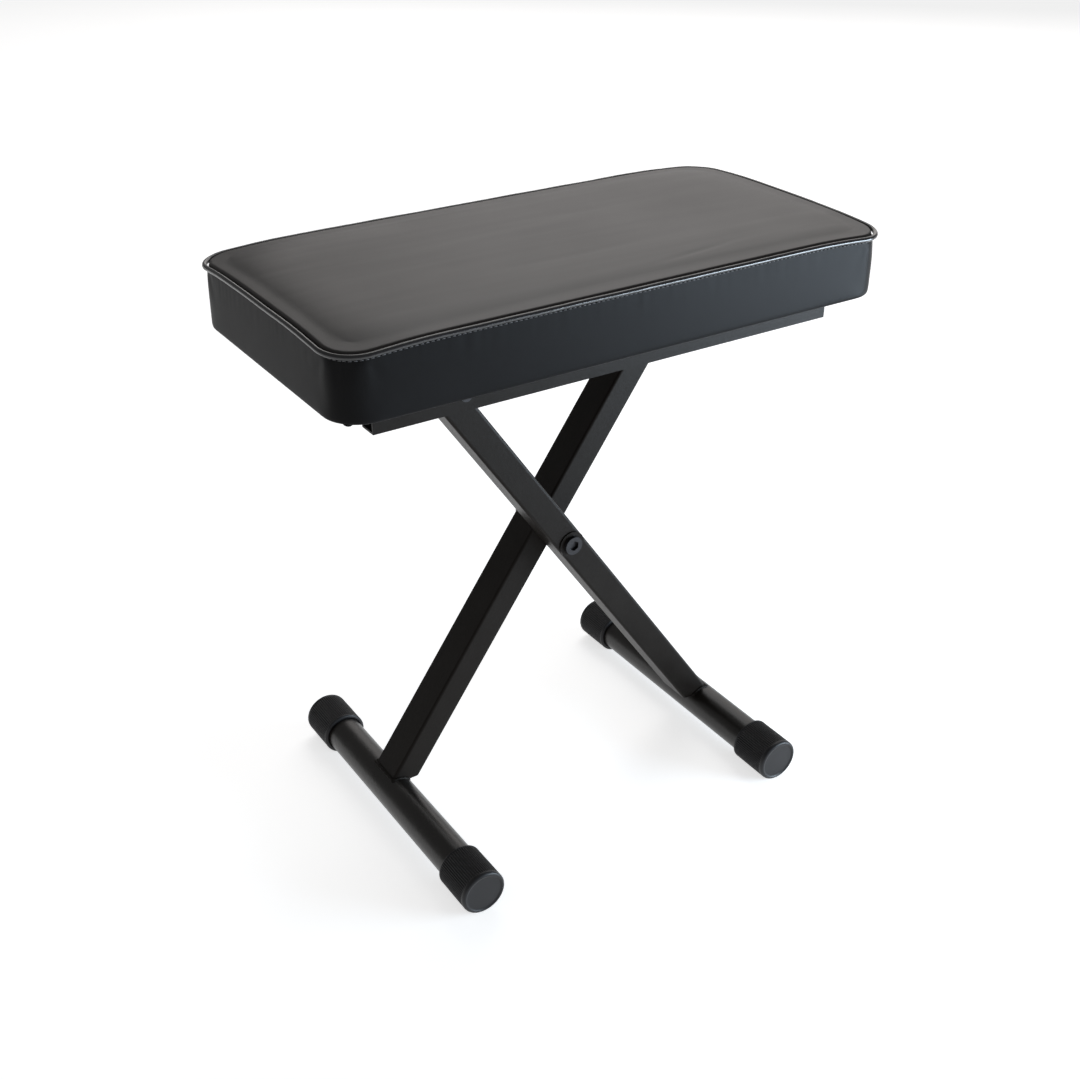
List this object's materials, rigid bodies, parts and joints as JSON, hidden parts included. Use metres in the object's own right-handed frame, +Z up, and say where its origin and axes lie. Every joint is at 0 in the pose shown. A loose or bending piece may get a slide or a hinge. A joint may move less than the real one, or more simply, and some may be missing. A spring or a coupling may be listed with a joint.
{
  "type": "piano bench",
  "caption": "Folding piano bench: a padded leatherette seat with piped edges on a single X frame of steel tube with ribbed rubber foot caps.",
  "frame": {"origin": "on the floor, under the middle of the seat", "axes": "+X along the seat to the right, +Y from front to back, +Z up"},
  "size_m": [0.605, 0.361, 0.6229],
  "materials": {
    "leatherette": "satin, fine grain",
    "piping": "semi-gloss, smooth",
    "plywood": "sanded, uncoated",
    "foam": "open cell, matte",
    "under_cloth": "non-woven, matte",
    "powder_coat": "satin black powder coat",
    "cap_rubber": "moulded, ribbed, matte",
    "black_hardware": "black oxide",
    "bright_steel": "zinc plated",
    "nylon": "natural, moulded"
  },
  "bodies": {
    "seat": {"seat_board": "plywood", "seat_foam": "foam", "cover_top": "leatherette", "cover_border": "leatherette", "seat_piping": "piping", "dust_cloth": "under_cloth", "cover_staples": "bright_steel", "tee_nuts": "bright_steel", "front_rail": "powder_coat", "rear_rail": "powder_coat", "rail_screws": "black_hardware", "hinge_bushes": "nylon"},
    "near_leg_frame": {"near_leg": "powder_coat", "near_crossbar": "powder_coat", "near_bar_inserts": "bright_steel", "hinge_bolts": "black_hardware", "right_foot": "powder_coat", "right_front_cap": "cap_rubber", "right_rear_cap": "cap_rubber", "near_leg_sleeve": "bright_steel", "pivot_bolt": "black_hardware", "pivot_plate": "powder_coat", "pivot_spacer": "nylon", "pivot_rear_washer": "bright_steel", "pivot_nut": "bright_steel"},
    "far_leg_frame": {"far_leg": "powder_coat", "far_crossbar": "powder_coat", "far_bar_inserts": "bright_steel", "roller_axles": "bright_steel", "track_rollers": "nylon", "left_foot": "powder_coat", "left_front_cap": "cap_rubber", "left_rear_cap": "cap_rubber", "far_leg_sleeve": "bright_steel"}
  },
  "joints": [
    {"name": "leg_tilt", "type": "hinge", "parent": "seat", "child": "near_leg_frame", "pos_m": [-0.16462, 0, 0.53647], "axis": [0, -1, 0], "range_deg": [0, 40]},
    {"name": "centre_pivot", "type": "hinge", "parent": "near_leg_frame", "child": "far_leg_frame", "pos_m": [0, 0, 0.30137], "axis": [0, -1, 0], "range_deg": [-80, 0]}
  ],
  "couplings": [
    {"joint": "centre_pivot", "follows": "leg_tilt", "ratio": -2}
  ]
}
